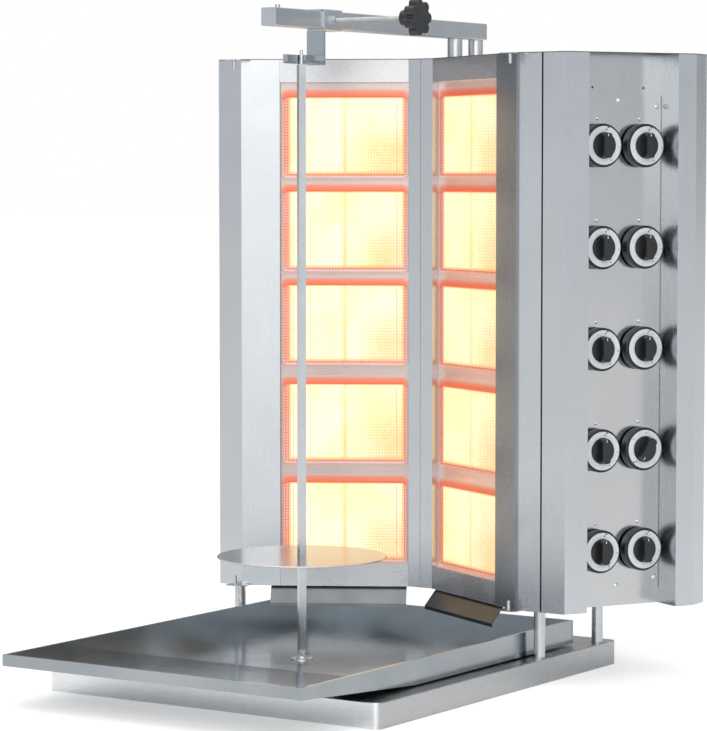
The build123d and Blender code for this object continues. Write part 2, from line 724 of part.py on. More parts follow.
catch_top = catch_bottom + catch_height
hanger_front = sleeve_front
block_end = skewer_y + pin_diameter / 2 - 1
with BuildPart() as hanger_plate:
    box(Plane.XY, (-sleeve_outer / 2, sleeve_outer / 2),
        (hanger_front, hanger_front + hanger_thickness),
        (sleeve_bottom - hanger_drop, sleeve_bottom))
    box(Plane.XY, (-catch_width / 2, catch_width / 2), (block_end, hanger_front),
        (catch_bottom, catch_top))
    box(Plane.XY, (-catch_width / 2, -catch_width / 2 + catch_prong),
        (prong_end_y, hanger_front), (catch_top - prong_height, catch_top))
    box(Plane.XY, (-catch_width / 2, -catch_width / 2 + lip_width),
        (prong_end_y, prong_end_y + hanger_thickness), (catch_top - lip_height, catch_top))
    rod((0, skewer_y, catch_bottom - prong_height), (0, skewer_y, catch_top + 1),
        pin_diameter + 2 * catch_gap, Mode.SUBTRACT)
save(hanger_plate.part, "hanger_plate")

with BuildPart() as clamp_screw:
    rod((screw_tip, clamp_y, arm_middle_z), (screw_end_x, clamp_y, arm_middle_z), screw_diameter)
    chamfer(clamp_screw.faces().sort_by(Axis.X)[0].edges(), 1)
save(clamp_screw.part, "clamp_screw")

star_start = screw_end_x - star_hub_length + 5
star_plane = Plane.YZ.offset(star_start)
with BuildPart() as star_knob:
    with BuildSketch(star_plane):
        with Locations((clamp_y, arm_middle_z)):
            Circle(star_hub / 2)
    extrude(amount=star_hub_length + star_thickness - 2)
    with BuildSketch(star_plane.offset(star_hub_length)) as star:
        with Locations((clamp_y, arm_middle_z)):
            Circle(star_diameter / 2 - 7)
            with PolarLocations(star_diameter / 2 - 9, star_lobes):
                Circle(9)
    extrude(amount=star_thickness)
    fillet(star_knob.faces().sort_by(Axis.X)[-1].edges(), 2.5)
    with BuildSketch(star_plane):
        with Locations((clamp_y, arm_middle_z)):
            Circle(screw_diameter / 2 + running)
    extrude(amount=screw_end_x - star_start + running, mode=Mode.SUBTRACT)
save(star_knob.part, "star_knob")
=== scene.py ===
"""Looks for the gas-fired vertical rotisserie broiler: steels, glowing burners, wire mesh,
knob dials, threads, screws and welds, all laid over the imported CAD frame."""
import math
import random

import bpy
from mathutils import Matrix, Vector


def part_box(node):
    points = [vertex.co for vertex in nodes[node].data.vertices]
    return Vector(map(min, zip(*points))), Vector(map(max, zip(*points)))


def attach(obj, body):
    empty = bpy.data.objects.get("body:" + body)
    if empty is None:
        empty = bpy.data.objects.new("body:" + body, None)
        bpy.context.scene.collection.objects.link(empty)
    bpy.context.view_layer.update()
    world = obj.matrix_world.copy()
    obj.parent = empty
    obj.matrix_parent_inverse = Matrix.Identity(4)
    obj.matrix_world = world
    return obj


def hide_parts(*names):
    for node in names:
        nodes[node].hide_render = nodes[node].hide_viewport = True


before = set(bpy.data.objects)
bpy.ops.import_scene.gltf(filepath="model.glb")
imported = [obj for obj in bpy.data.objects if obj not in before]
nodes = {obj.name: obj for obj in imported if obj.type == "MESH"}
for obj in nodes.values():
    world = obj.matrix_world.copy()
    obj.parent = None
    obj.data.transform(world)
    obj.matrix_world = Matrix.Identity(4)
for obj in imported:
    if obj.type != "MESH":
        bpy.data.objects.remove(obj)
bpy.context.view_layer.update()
MM = 0.001
COS, SIN = math.cos(math.radians(30)), 0.5      # each burner face stands 30 degrees round
WORDS = {1: "right", -1: "left"}                # a cabinet's side and its word in names

# ------------------------------------------------------------------ where things are
# A burner cabinet has its own axes: x outwards along the burner face, y into the cabinet.
POST_HALF, POST_Y = 25.0, 257.0


def cabinet(x, y, z, side=1):
    """A point of the right (1) or left (-1) cabinet, in mm, as metres in the machine's frame."""
    return Vector((side * (POST_HALF + COS * x + SIN * y), POST_Y - SIN * x + COS * y, z)) * MM


def cabinet_matrix(x, y, z, side=1):
    """Axes at a cabinet point: X along the face, Y up, Z out of the burner face."""
    out = Vector((-side * SIN, -COS, 0))
    up = Vector((0, 0, 1))
    along = up.cross(out)
    m = Matrix((along, up, out)).transposed().to_4x4()
    m.translation = cabinet(x, y, z, side)
    return m


# ------------------------------------------------------------------ mesh helpers
def new_object(name, verts, faces, material, body, smooth_angle=35.0):
    mesh = bpy.data.meshes.new(name)
    mesh.from_pydata([tuple(v) for v in verts], [], faces)
    mesh.update()
    mesh.shade_smooth()
    mesh.set_sharp_from_angle(angle=math.radians(smooth_angle))
    mesh.materials.append(material)
    obj = bpy.data.objects.new(name, mesh)
    bpy.context.scene.collection.objects.link(obj)
    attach(obj, body)
    return obj


def lathe(profile, segments, matrix):
    """Turns (radius, height) pairs, in mm, about the matrix's Z."""
    verts, faces = [], []
    count = len(profile)
    for i in range(segments):
        a = 2 * math.pi * i / segments
        for r, h in profile:
            verts.append(matrix @ (Vector((r * math.cos(a), r * math.sin(a), h)) * MM))
    for i in range(segments):
        j = (i + 1) % segments
        for k in range(count - 1):
            faces.append((i * count + k, j * count + k, j * count + k + 1, i * count + k + 1))
    return verts, faces


def merge(parts):
    """Joins (verts, faces) lists into one."""
    verts, faces = [], []
    for part_verts, part_faces in parts:
        base = len(verts)
        verts += part_verts
        faces += [tuple(base + i for i in face) for face in part_faces]
    return verts, faces


def paint_heat(obj, heat):
    """Stores one heat value a vertex, 0 cold to 1 hot, as a UV map's first coordinate."""
    layer = obj.data.uv_layers.new(name="heat")
    for loop in obj.data.loops:
        layer.data[loop.index].uv = (heat[loop.vertex_index], 0.5)


def dress(names, material, edge=0.0):
    """Gives CAD nodes a material and, where edge is set, a small bevel in mm."""
    for name in names:
        obj = nodes[name]
        if not obj.material_slots:
            obj.data.materials.append(material)
        for slot in obj.material_slots:
            slot.material = material
        if edge:
            bevel = obj.modifiers.new("edge", "BEVEL")
            bevel.width = edge * MM
            bevel.segments = 2
            bevel.limit_method = "ANGLE"
            bevel.angle_limit = math.radians(40)


# ------------------------------------------------------------------ materials
MIX_FACTOR, MIX_A, MIX_B, MIX_RESULT = 0, 6, 7, 2   # the Mix node's sockets for colours


def shader(name):
    material = bpy.data.materials.new(name)
    material.use_nodes = True
    return material, material.node_tree, material.node_tree.nodes["Principled BSDF"]


def add(tree, kind, **settings):
    node = tree.nodes.new(kind)
    for key, value in settings.items():
        setattr(node, key, value)
    return node


def object_parts(tree):
    """The X, Y and Z of the object's own coordinates."""
    where = add(tree, "ShaderNodeTexCoord")
    parts = add(tree, "ShaderNodeSeparateXYZ")
    tree.links.new(where.outputs["Object"], parts.inputs[0])
    return parts.outputs


def noise(tree, scale, detail=3.0, rough=0.5, stretch=(1, 1, 1)):
    """Noise on the object's own coordinates, stretched along a grain."""
    where = add(tree, "ShaderNodeTexCoord")
    mapping = add(tree, "ShaderNodeMapping")
    mapping.inputs["Scale"].default_value = stretch
    texture = add(tree, "ShaderNodeTexNoise")
    texture.inputs["Scale"].default_value = scale
    texture.inputs["Detail"].default_value = detail
    texture.inputs["Roughness"].default_value = rough
    tree.links.new(where.outputs["Object"], mapping.inputs["Vector"])
    tree.links.new(mapping.outputs["Vector"], texture.inputs["Vector"])
    return texture.outputs["Fac"]


def ramp(tree, value, stops):
    node = add(tree, "ShaderNodeValToRGB")
    while len(node.color_ramp.elements) < len(stops):
        node.color_ramp.elements.new(0.5)
    for element, (place, colour) in zip(node.color_ramp.elements, stops):
        element.position = place
        element.color = tuple(colour) + (1.0,)
    tree.links.new(value, node.inputs["Fac"])
    return node.outputs["Color"]


def span(tree, value, low, high, source=(0.3, 0.7)):
    node = add(tree, "ShaderNodeMapRange")
    node.inputs["From Min"].default_value = source[0]
    node.inputs["From Max"].default_value = source[1]
    node.inputs["To Min"].default_value = low
    node.inputs["To Max"].default_value = high
    tree.links.new(value, node.inputs["Value"])
    return node.outputs["Result"]


def mix(tree, factor, a, b, blend="MIX"):
    """Mixes colours or sockets a and b; the node's colour sockets are reached by number."""
    node = add(tree, "ShaderNodeMix", data_type="RGBA", blend_type=blend)
    for value, number in ((factor, MIX_FACTOR), (a, MIX_A), (b, MIX_B)):
        socket = node.inputs[number]
        if isinstance(value, bpy.types.NodeSocket):
            tree.links.new(value, socket)
        else:
            socket.default_value = value if isinstance(value, float) else tuple(value) + (1.0,)
    return node.outputs[MIX_RESULT]


def bump(tree, bsdf, height, strength, distance):
    node = add(tree, "ShaderNodeBump")
    node.inputs["Strength"].default_value = strength
    node.inputs["Distance"].default_value = distance
    tree.links.new(height, node.inputs["Height"])
    tree.links.new(node.outputs["Normal"], bsdf.inputs["Normal"])


def behind_face(tree, low, high):
    """0 on a burner cabinet's face, 1 deeper in, between two depths in mm."""
    parts = object_parts(tree)
    across = add(tree, "ShaderNodeMath", operation="ABSOLUTE")
    tree.links.new(parts["X"], across.inputs[0])
    inwards = add(tree, "ShaderNodeMath", operation="MULTIPLY")
    tree.links.new(across.outputs[0], inwards.inputs[0])
    inwards.inputs[1].default_value = SIN
    depth = add(tree, "ShaderNodeMath", operation="MULTIPLY_ADD")
    tree.links.new(parts["Y"], depth.inputs[0])
    depth.inputs[1].default_value = COS
    tree.links.new(inwards.outputs[0], depth.inputs[2])
    face = (SIN * POST_HALF + COS * POST_Y) * MM
    return span(tree, depth.outputs[0], 0.0, 1.0, (face + low * MM, face + high * MM))


def steel(name, light, dark, rough, grain, cloud=3.0, streak=0.08, tint=None, metal=1.0):
    """Brushed steel: fine streaks along the grain, slow cloudy variation and faint rubbed patches.
    tint is (colour, shallow, deep, at_face): a colour multiplied in that fades between two depths
    behind the burner face, in mm; it is a heat stain on the burner frames and painted shade on the
    right wing.  It lies on the face's side of them, or else on the deeper side."""
    material, tree, bsdf = shader(name)
    bsdf.inputs["Metallic"].default_value = metal
    streaks = noise(tree, 1.0, 4.0, 0.65, grain)
    clouds = noise(tree, cloud, 3.0, 0.55)
    patches = noise(tree, cloud * 5, 5.0, 0.6)
    base = ramp(tree, clouds, [(0.32, dark), (0.68, light)])
    if tint:
        colour, shallow, deep, at_face = tint
        amount = behind_face(tree, shallow, deep)
        pair = (colour, (1.0, 1.0, 1.0)) if at_face else ((1.0, 1.0, 1.0), colour)
        base = mix(tree, 1.0, base, mix(tree, amount, *pair), "MULTIPLY")
    fine = ramp(tree, streaks, [(0.25, [1 - streak * 0.5] * 3), (0.75, [1.0] * 3)])
    tree.links.new(mix(tree, 1.0, base, fine, "MULTIPLY"), bsdf.inputs["Base Color"])
    shaded = add(tree, "ShaderNodeMath", operation="ADD")
    tree.links.new(span(tree, streaks, rough * 0.92, rough * 1.08), shaded.inputs[0])
    tree.links.new(span(tree, patches, -0.03, 0.03), shaded.inputs[1])
    tree.links.new(shaded.outputs[0], bsdf.inputs["Roughness"])
    bump(tree, bsdf, streaks, 0.0025, 0.0004)
    return material


# the grain's stretch along X, Y and Z: small along the streaks and large across them
UPRIGHT, LEVEL, ALONG_ARM = (420, 420, 6), (6, 420, 420), (380, 10, 380)
UPRIGHT_BAR, FRAME_GRAIN = (300, 300, 12), (30, 30, 420)
COARSE, CAST, PLAIN, TURNED, FINE = ((size, size, size) for size in (60, 150, 200, 300, 600))

body_steel = steel("body_steel", (0.645, 0.67, 0.695), (0.595, 0.625, 0.65), 0.26, UPRIGHT)
recess_steel = steel("recess_steel", (0.64, 0.645, 0.65), (0.59, 0.60, 0.61), 0.17, UPRIGHT)
top_steel = steel("top_steel", (0.40, 0.42, 0.44), (0.36, 0.38, 0.40), 0.42, LEVEL, metal=0.6)
base_steel = steel("base_steel", (0.97, 0.98, 0.99), (0.90, 0.92, 0.94), 0.28, LEVEL)
tray_steel = steel("tray_steel", (0.44, 0.475, 0.50), (0.35, 0.385, 0.41), 0.17, LEVEL,
                   cloud=6.0, streak=0.1)
bar_steel = steel("bar_steel", (0.68, 0.70, 0.715), (0.58, 0.61, 0.63), 0.26, UPRIGHT_BAR,
                  cloud=12.0)
arm_steel = steel("arm_steel", (0.66, 0.695, 0.725), (0.59, 0.625, 0.66), 0.30, ALONG_ARM,
                  cloud=8.0)
screw_steel = steel("screw_steel", (0.94, 0.95, 0.96), (0.80, 0.81, 0.82), 0.20, FINE,
                    cloud=60.0, metal=0.7)
thread_steel = steel("thread_steel", (0.58, 0.59, 0.60), (0.48, 0.49, 0.50), 0.34, FINE,
                     cloud=60.0)
burner_steel = steel("burner_steel", (0.62, 0.58, 0.55), (0.45, 0.40, 0.37), 0.42, COARSE,
                     cloud=14.0)
tube_metal = steel("tube_metal", (0.82, 0.83, 0.84), (0.70, 0.71, 0.73), 0.35, PLAIN, cloud=20.0)


def paint_shade_between(material, axis, near, far, share):
    """Painted shade: dims a steel's colour from share at near, in metres, to full at far, along one
    axis.
    """
    tree = material.node_tree
    bsdf = tree.nodes["Principled BSDF"]
    colour = bsdf.inputs["Base Color"].links[0].from_socket
    reach = span(tree, object_parts(tree)[axis], 0.0, 1.0, (near, far))
    shade = mix(tree, reach, [share] * 3, (1.0, 1.0, 1.0))
    tree.links.new(mix(tree, 1.0, colour, shade, "MULTIPLY"), bsdf.inputs["Base Color"])


# painted light and shade: the base's faces behind its front are dimmed to 0.57 so its front face
# stands brightest, and painted shade darkens the cut edge of the top sheet
base_front, top_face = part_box("base_pan")[0].y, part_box("top_panel")[1].z
paint_shade_between(base_steel, "Y", base_front + 0.005, base_front + 0.001, 0.57)
paint_shade_between(top_steel, "Z", top_face - 0.0004, top_face - 0.0001, 0.25)


def polished_disc():
    """Mirror-polished steel with the faint rings that turning leaves."""
    material, tree, bsdf = shader("polished_disc")
    bsdf.inputs["Metallic"].default_value = 1.0
    where = add(tree, "ShaderNodeTexCoord")
    mapping = add(tree, "ShaderNodeMapping")
    axis_y = (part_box("meat_plate")[0].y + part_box("meat_plate")[1].y) / 2
    mapping.inputs["Location"].default_value = (0, -axis_y, 0)
    rings = add(tree, "ShaderNodeTexWave", wave_type="RINGS", rings_direction="Z")
    rings.inputs["Scale"].default_value = 160       # rings about 2 mm apart
    rings.inputs["Distortion"].default_value = 1.5
    tree.links.new(where.outputs["Object"], mapping.inputs["Vector"])
    tree.links.new(mapping.outputs["Vector"], rings.inputs["Vector"])
    smear = noise(tree, 14.0, 4.0, 0.6)
    tree.links.new(ramp(tree, smear, [(0.3, (0.70, 0.68, 0.68)), (0.7, (0.80, 0.79, 0.79))]),
                   bsdf.inputs["Base Color"])
    tree.links.new(span(tree, smear, 0.16, 0.24), bsdf.inputs["Roughness"])
    bsdf.inputs["Specular Tint"].default_value = (0.80, 0.78, 0.78, 1.0)
    bump(tree, bsdf, rings.outputs["Fac"], 0.04, 0.0002)
    return material


def brass():
    material, tree, bsdf = shader("valve_brass")
    bsdf.inputs["Metallic"].default_value = 1.0
    tarnish = noise(tree, 40.0, 5.0, 0.65)
    tree.links.new(ramp(tree, tarnish, [(0.3, (0.42, 0.31, 0.14)), (0.7, (0.74, 0.60, 0.32))]),
                   bsdf.inputs["Base Color"])
    tree.links.new(span(tree, tarnish, 0.42, 0.26), bsdf.inputs["Roughness"])
    bump(tree, bsdf, noise(tree, 400.0), 0.06, 0.0003)
    return material


def plastic(name, colour, worn, rough, grain_scale, coat=0.0):
    """Moulded plastic with a fine texture and slightly rubbed high spots."""
    material, tree, bsdf = shader(name)
    rubbed = noise(tree, 60.0, 4.0, 0.6)
    tree.links.new(ramp(tree, rubbed, [(0.35, colour), (0.75, worn)]), bsdf.inputs["Base Color"])
    tree.links.new(span(tree, rubbed, rough * 0.85, rough * 1.2), bsdf.inputs["Roughness"])
    bsdf.inputs["Coat Weight"].default_value = coat
    bsdf.inputs["Coat Roughness"].default_value = 0.12
    bump(tree, bsdf, noise(tree, grain_scale, 2.0), 0.10, 0.0002)
    return material


black_plastic = plastic("knob_black", (0.008, 0.010, 0.012), (0.018, 0.019, 0.021), 0.34,
                        1500.0, 0.1)
star_plastic = plastic("star_black", (0.007, 0.009, 0.012), (0.024, 0.027, 0.031), 0.36,
                       900.0, 0.2)
dial_white = plastic("dial_silver", (0.62, 0.65, 0.68), (0.74, 0.76, 0.78), 0.34, 1200.0)
dial_ink = plastic("dial_ink", (0.012, 0.012, 0.014), (0.03, 0.03, 0.03), 0.5, 1200.0)


def heat_colour(tree, cold, warm, hot):
    """A colour that follows the painted heat from cold through warm to hot."""
    heat = add(tree, "ShaderNodeUVMap", uv_map="heat")
    value = add(tree, "ShaderNodeSeparateXYZ")
    tree.links.new(heat.outputs["UV"], value.inputs[0])
    return value.outputs[0], ramp(tree, value.outputs[0], [(0.0, cold), (0.5, warm), (1.0, hot)])


def glowing_tile():
    """Perforated ceramic at full glow: white-yellow inside, red at its rim, dark fine holes."""
    material, tree, bsdf = shader("glowing_tile")
    level, colour = heat_colour(tree, (1.0, 0.46, 0.38), (1.0, 0.62, 0.30), (1.0, 0.93, 0.73))
    cells = add(tree, "ShaderNodeTexVoronoi", feature="F1")
    cells.inputs["Scale"].default_value = 420.0
    where = add(tree, "ShaderNodeTexCoord")
    tree.links.new(where.outputs["Object"], cells.inputs["Vector"])
    holes = ramp(tree, cells.outputs["Distance"],
                 [(0.10, (0.72, 0.60, 0.50)), (0.42, (1.0, 1.0, 1.0))])
    drift = ramp(tree, noise(tree, 11.0, 3.0, 0.55),
                 [(0.34, (1.0, 0.90, 0.60)), (0.60, (1.0, 1.0, 1.0))])
    glow = mix(tree, 1.0, mix(tree, 1.0, colour, holes, "MULTIPLY"), drift, "MULTIPLY")
    tree.links.new(glow, bsdf.inputs["Emission Color"])
    tree.links.new(span(tree, level, 0.85, 1.09, (0.0, 1.0)), bsdf.inputs["Emission Strength"])
    tree.links.new(mix(tree, 0.8, colour, (0.20, 0.16, 0.13)), bsdf.inputs["Base Color"])
    bsdf.inputs["Roughness"].default_value = 0.9
    bump(tree, bsdf, cells.outputs["Distance"], 0.4, 0.001)
    return material


def hot_wire():
    """Heat-resisting wire: pale orange over the glow, dull red and brown near the frame."""
    material, tree, bsdf = shader("hot_wire")
    bsdf.inputs["Metallic"].default_value = 0.6
    level, colour = heat_colour(tree, (0.62, 0.09, 0.07), (0.92, 0.48, 0.20), (1.0, 0.80, 0.42))
    scale = ramp(tree, noise(tree, 180.0, 3.0),
                 [(0.35, (0.82, 0.78, 0.76)), (0.65, (1.0, 1.0, 1.0))])
    tree.links.new(mix(tree, 1.0, colour, scale, "MULTIPLY"), bsdf.inputs["Emission Color"])
    tree.links.new(span(tree, level, 0.62, 0.90, (0.0, 1.0)), bsdf.inputs["Emission Strength"])
    tree.links.new(mix(tree, 0.8, colour, (0.20, 0.16, 0.14)), bsdf.inputs["Base Color"])
    tree.links.new(span(tree, noise(tree, 90.0), 0.4, 0.65), bsdf.inputs["Roughness"])
    bump(tree, bsdf, noise(tree, 700.0), 0.1, 0.0002)
    return material


def hot_frame(name, painted_glow):
    """The burner frame: heat-tinted steel with a red glow over each window, partly the steel's own
    heat and partly painted light for the burners' glare, and a faint painted glow elsewhere where
    one is given.
    """
    material, tree, bsdf = shader(name)
    bsdf.inputs["Metallic"].default_value = 1.0
    level, tint = heat_colour(tree, (0.60, 0.50, 0.47), (0.50, 0.27, 0.21), (0.36, 0.13, 0.08))
    streaks = noise(tree, 1.0, 4.0, 0.65, FRAME_GRAIN)
    fine = ramp(tree, streaks, [(0.25, (0.93, 0.93, 0.93)), (0.75, (1.0, 1.0, 1.0))])
    tree.links.new(mix(tree, 1.0, tint, fine, "MULTIPLY"), bsdf.inputs["Base Color"])
    tree.links.new(span(tree, streaks, 0.28, 0.42), bsdf.inputs["Roughness"])
    shine = ramp(tree, level, [(0.0, painted_glow), (1.0, (0.56, 0.09, 0.045))])
    tree.links.new(shine, bsdf.inputs["Emission Color"])
    bsdf.inputs["Emission Strength"].default_value = 1.0
    bump(tree, bsdf, streaks, 0.02, 0.0003)
    return material


# painted light: the right burner frame is given a faint emission that keeps it as bright as the
# left one, which gets none
PAINTED_FRAME_GLOW = {1: (0.26, 0.17, 0.15), -1: (0.0, 0.0, 0.0)}
tile_material, wire_material = glowing_tile(), hot_wire()
rim_materials = {side: hot_frame(f"hot_frame_{WORDS[side]}", painted_glow)
                 for side, painted_glow in PAINTED_FRAME_GLOW.items()}

# ------------------------------------------------------------------ CAD nodes that stay
# painted shade: the right wing's inner face, in front of the burner face's plane, is darkened to
# about half its steel's colour; the left wing has none
dress(["right_wing"], steel("right_wing_painted_shade", (0.66, 0.69, 0.715), (0.61, 0.64, 0.665), 0.28, UPRIGHT,
                            tint=((0.50, 0.52, 0.54), 2.5, 4.0, True)), 0.5)
dress(["left_wing", "left_centre_flange", "right_centre_flange", "front_post_cover",
       "rear_post_cover", "left_end_panel", "back_panel"], body_steel, 0.5)
dress(["bottom_panel"], body_steel)
dress(["recess_floor", "control_panel"], recess_steel, 0.4)
dress(["top_panel"], top_steel)
dress(["base_pan"], base_steel, 0.4)
# painted shade: the right deflector's steel is darker than the left deflector's
dress(["right_deflector"],
      steel("right_deflector_painted_shade", (0.12, 0.13, 0.15), (0.09, 0.10, 0.115), 0.34, LEVEL, cloud=9.0),
      0.4)
dress(["left_deflector"],
      steel("deflector_steel", (0.24, 0.255, 0.27), (0.18, 0.19, 0.20), 0.34, LEVEL, cloud=9.0),
      0.4)
dress(["drip_tray"], tray_steel, 0.2)
dress(["leg_tubes", "arm_posts", "skewer", "guard_pins", "plate_pin"], bar_steel)
dress(["arm_tube", "carriage_sleeve"], arm_steel, 0.25)
dress(["hanger_plate"], steel("hanger_steel", (0.50, 0.54, 0.58), (0.44, 0.48, 0.52), 0.30,
                              ALONG_ARM, cloud=8.0), 0.6)
dress(["pivot_cup"], steel("cup_steel", (0.82, 0.85, 0.87), (0.70, 0.74, 0.77), 0.2,
                           TURNED, cloud=30.0), 0.4)
dress(["meat_plate"], polished_disc())
dress(["gas_manifold", "gas_valves"], brass(), 0.4)
dress(["supply_tubes"], tube_metal)
dress(["left_burner_boxes", "right_burner_boxes"], burner_steel, 0.6)
dress(["star_knob"], star_plastic, 0.8)
dress([n for n in nodes if "spindle" in n], screw_steel)
dress([n for n in nodes if "_knob_" in n], black_plastic, 0.6)

# ------------------------------------------------------------------ burners
# all in mm, in a cabinet's axes
HEATER_X, WINDOW_W, WINDOW_H, CORNER = 115.0, 222.0, 141.0, 8.0
BURNER_Z = [932.5, 764.5, 596.5, 418.5, 240.5]
FRAME_FRONT, MESH_FRONT, TILE_FRONT = 12.6, 14.1, 15.1
TILE_W, TILE_H, TILE_GAP = 92.0, 132.0, 0.6


def rounded_outline(width, height, radius, steps=6):
    points = []
    for cx, cy, start in ((1, 1, 0), (-1, 1, 90), (-1, -1, 180), (1, -1, 270)):
        for k in range(steps + 1):
            a = math.radians(start + 90 * k / steps)
            points.append((cx * (width / 2 - radius) + radius * math.cos(a),
                           cy * (height / 2 - radius) + radius * math.sin(a)))
    return points


def ease(value):
    """0 to 1 with a soft start and end; values outside are cut."""
    value = max(0.0, min(1.0, value))
    return value * value * (3 - 2 * value)


def window_heat(x, y):
    """1 well inside a window, 0 at its sides and foot; x, y in mm from its middle.  The heat
    starts some mm inside each edge, or 3 mm above the head, and is full a few mm further in."""
    left_in = (x + WINDOW_W / 2 - 9.0) / 7.0
    right_in = (WINDOW_W / 2 - x - 4.5) / 5.0
    foot_in = (y + WINDOW_H / 2 - 4.5) / 5.0
    head_in = (WINDOW_H / 2 - y + 3.0) / 6.0
    return max(0.0, min(1.0, left_in, right_in, foot_in, head_in))


def tile_panels(side):
    """Two perforated plaques and their glowing rim in each window."""
    verts, faces, heat = [], [], []
    step, spread = 4.0, 0.5                 # of the grid; past the window on each side
    behind = 0.3                            # the front of the plain plaques
    rim_rise, seam_drop = 0.45, -1.2
    seam_cooling, corner_cooling = 0.55, 0.30
    nx, ny = int(WINDOW_W / step), int(WINDOW_H / step)
    half_w, half_h = WINDOW_W / 2 + spread, WINDOW_H / 2 + spread
    for z in BURNER_Z:
        m = cabinet_matrix(HEATER_X, TILE_FRONT + behind, z, side)
        base = len(verts)
        xs = sorted({round(-half_w + 2 * half_w * i / nx, 3) for i in range(nx + 1)}
                    | {-6.0, -3.0, -1.6, -0.8, 0.8, 1.6, 3.0, 6.0})
        ys = [-half_h + 2 * half_h * j / ny for j in range(ny + 1)]
        for y in ys:
            for x in xs:
                edge = abs(x) > TILE_W + TILE_GAP / 2 or abs(y) > TILE_H / 2
                seam = abs(x) < 1.0
                rise = rim_rise if edge else (seam_drop if seam else 0.0)
                verts.append(m @ (Vector((x, y, rise)) * MM))
                h = window_heat(x, y)
                # cooler at the seam, most at its foot, and towards the lower outer corner
                h *= 1.0 - seam_cooling * math.exp(-(x / 4.2) ** 2) * (0.75 - 0.5 * y / WINDOW_H)
                h *= 1.0 - corner_cooling * ease((x - 10) / 70) * ease((45 - y) / 80)
                heat.append(h)
        row = len(xs)
        for j in range(len(ys) - 1):
            for i in range(row - 1):
                a = base + j * row + i
                faces.append((a, a + 1, a + row + 1, a + row))
    word = WORDS[side]
    obj = new_object(f"{word}_glowing_plaques", verts, faces, tile_material, "frame")
    paint_heat(obj, heat)
    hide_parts(f"{word}_ceramic_tiles")


def wire_mesh(side):
    """Woven wire cloth over each window: square wires that pass over and under each other."""
    verts, faces, heat = [], [], []
    pitch, half, sway = 5.0, 0.42, 0.34     # of the wires; half their width; to each side
    outer_cooling = 0.24
    cols = int(WINDOW_W / pitch)
    rows = int(WINDOW_H / pitch)
    cut_x, cut_y = WINDOW_W / 2 + 1, WINDOW_H / 2 + 1

    def wire(m, points):
        base = len(verts)
        for (x, y, depth), (ax, ay) in points:
            for u, v in ((-half, -half), (half, -half), (half, half), (-half, half)):
                verts.append(m @ (Vector((x + u * ax, y + u * ay, depth + v)) * MM))
                cooler = ease((x + 20) / 90) * (0.4 + 0.6 * ease((50 - y) / 90))
                heat.append(min(1.0, 1.5 * window_heat(x, y)) * (1.0 - outer_cooling * cooler))
        for k in range(len(points) - 1):
            for c in range(4):
                a, b = base + 4 * k + c, base + 4 * k + (c + 1) % 4
                faces.append((a, b, b + 4, a + 4))
        faces.append(tuple(base + c for c in (3, 2, 1, 0)))
        end = base + 4 * (len(points) - 1)
        faces.append((end, end + 1, end + 2, end + 3))

    for z in BURNER_Z:
        m = cabinet_matrix(HEATER_X, (MESH_FRONT + TILE_FRONT) / 2, z, side)
        xs = [(i - (cols - 1) / 2) * pitch for i in range(cols)]
        ys = [(j - (rows - 1) / 2) * pitch for j in range(rows)]
        for i, x in enumerate(xs):
            path = [-cut_y] + ys + [cut_y]
            wire(m, [((x, y, sway * (1 if (i + k) % 2 else -1)), (1, 0))
                     for k, y in enumerate(path)])
        for j, y in enumerate(ys):
            path = [-cut_x] + xs + [cut_x]
            wire(m, [((x, y, sway * (-1 if (j + k) % 2 else 1)), (0, 1))
                     for k, x in enumerate(path)])
    word = WORDS[side]
    obj = new_object(f"{word}_wire_cloth", verts, faces, wire_material, "frame")
    paint_heat(obj, heat)
    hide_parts(f"{word}_burner_mesh")


def window_rims(side):
    """The rolled edge of each window, and the red glow on the frame above it: partly the steel's
    heat, partly painted light for the burners' glare.
    """
    verts, faces, heat = [], [], []
    # each ring: how far outside the window, how far proud of the frame, and its heat
    rings = ((-0.25, -1.45, 1.0), (-0.25, 0.2, 1.0), (1.0, 0.55, 1.0), (3.0, 0.45, 1.0),
             (6.0, 0.30, 0.9), (9.5, 0.22, 0.65), (13.0, 0.14, 0.25), (16.0, 0.08, 0.0))
    side_limit, foot_limit = 3.4, 8.0       # the rings reach no further than this there
    for z in BURNER_Z:
        m = cabinet_matrix(HEATER_X, FRAME_FRONT, z, side)
        base = len(verts)
        for grow, rise, level in rings:
            side_grow = min(grow, side_limit)
            corner = CORNER + side_grow
            outline = rounded_outline(WINDOW_W + 2 * side_grow, WINDOW_H + 2 * grow, corner)
            count = len(outline)
            for x, y in outline:
                over = max(0.0, 1.0 - (WINDOW_H / 2 + grow - y) / corner)
                heat.append(level * (0.2 + 0.8 * over if y > 0 else 0.1))
                if y < 0:
                    y += grow - min(grow, foot_limit)
                verts.append(m @ (Vector((x, y, rise)) * MM))
        for k in range(len(rings) - 1):
            for i in range(count):
                j = (i + 1) % count
                a, b = base + k * count, base + (k + 1) * count
                faces.append((a + i, b + i, b + j, a + j))
    obj = new_object(f"{WORDS[side]}_window_rims", verts, faces, rim_materials[side], "frame", 60.0)
    paint_heat(obj, heat)


for side in WORDS:
    tile_panels(side)
    wire_mesh(side)
    window_rims(side)

# the burner frames themselves: steel stained by the heat behind the plane of the face, and on the
# right painted light, a faint emission there
STAIN_FROM, STAIN_TO = 4.0, 12.0        # mm behind the face
for side, painted_glow in PAINTED_FRAME_GLOW.items():
    word = WORDS[side]
    plain = steel(f"frame_steel_{word}", (0.62, 0.62, 0.63), (0.58, 0.58, 0.59), 0.28, FRAME_GRAIN,
                  tint=((0.97, 0.78, 0.72), STAIN_FROM, STAIN_TO, False))
    tree = plain.node_tree
    bsdf = tree.nodes["Principled BSDF"]
    # painted light: a faint emission deeper than STAIN_FROM behind the face, none on the left
    bsdf.inputs["Emission Color"].default_value = painted_glow + (1.0,)
    tree.links.new(behind_face(tree, STAIN_FROM, STAIN_TO), bsdf.inputs["Emission Strength"])
    dress([f"{word}_burner_frame"], plain, 0.3)

